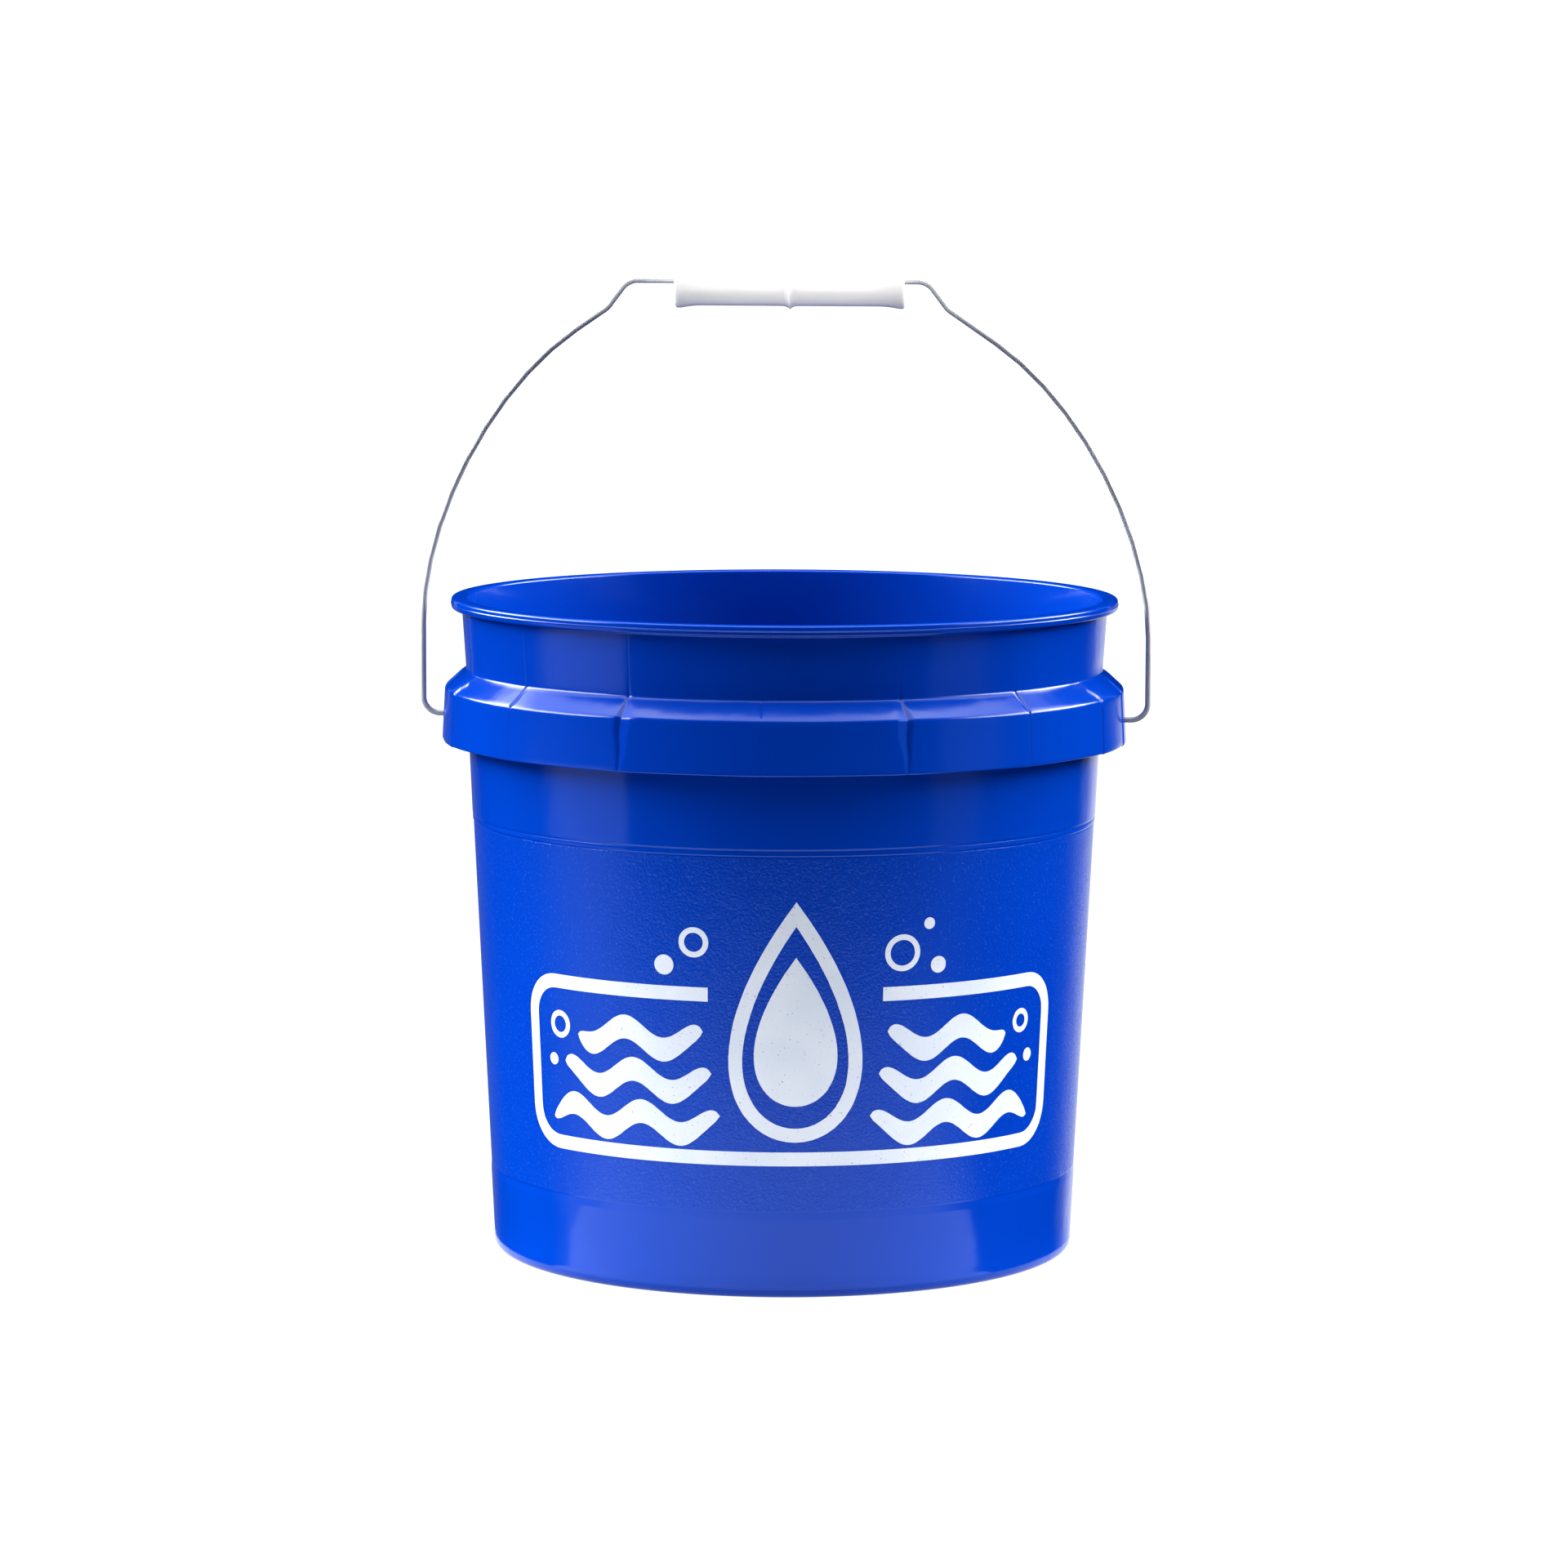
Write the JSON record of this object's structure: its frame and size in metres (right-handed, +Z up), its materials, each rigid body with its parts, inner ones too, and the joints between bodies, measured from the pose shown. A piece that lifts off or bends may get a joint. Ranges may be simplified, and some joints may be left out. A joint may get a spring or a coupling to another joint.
{
  "type": "wash bucket",
  "caption": "Round tapered plastic bucket with a hanging reinforcing collar, a swinging wire bail and a loose tubular hand grip.",
  "frame": {"origin": "centre of the foot ring, on the surface the bucket stands on", "axes": "+Z up along the bucket's axis, +X through the bail's ears, -Y towards the printed front"},
  "size_m": [0.268, 0.2492, 0.3589],
  "materials": {
    "blue_polyethylene": "moulded HDPE, glossy, fine pebble texture on the middle of the wall",
    "galvanised_wire": "bright galvanised drawn wire",
    "white_polyethylene": "natural white moulded polyethylene, satin",
    "print_ink": "pale screen-print ink"
  },
  "bodies": {
    "bucket": {"bucket_shell": "blue_polyethylene"},
    "bail": {"bail_wire": "galvanised_wire"},
    "grip": {"bail_grip": "white_polyethylene"}
  },
  "joints": [
    {"name": "bail_swing", "type": "hinge", "parent": "bucket", "child": "bail", "pos_m": [0, 0, 0.1952], "axis": [1, 0, 0], "range_deg": [-130, 130]},
    {"name": "grip_spin", "type": "hinge", "parent": "bail", "child": "grip", "pos_m": [0.0016, 0, 0.35147], "axis": [1, 0, 0], "continuous": true}
  ]
}
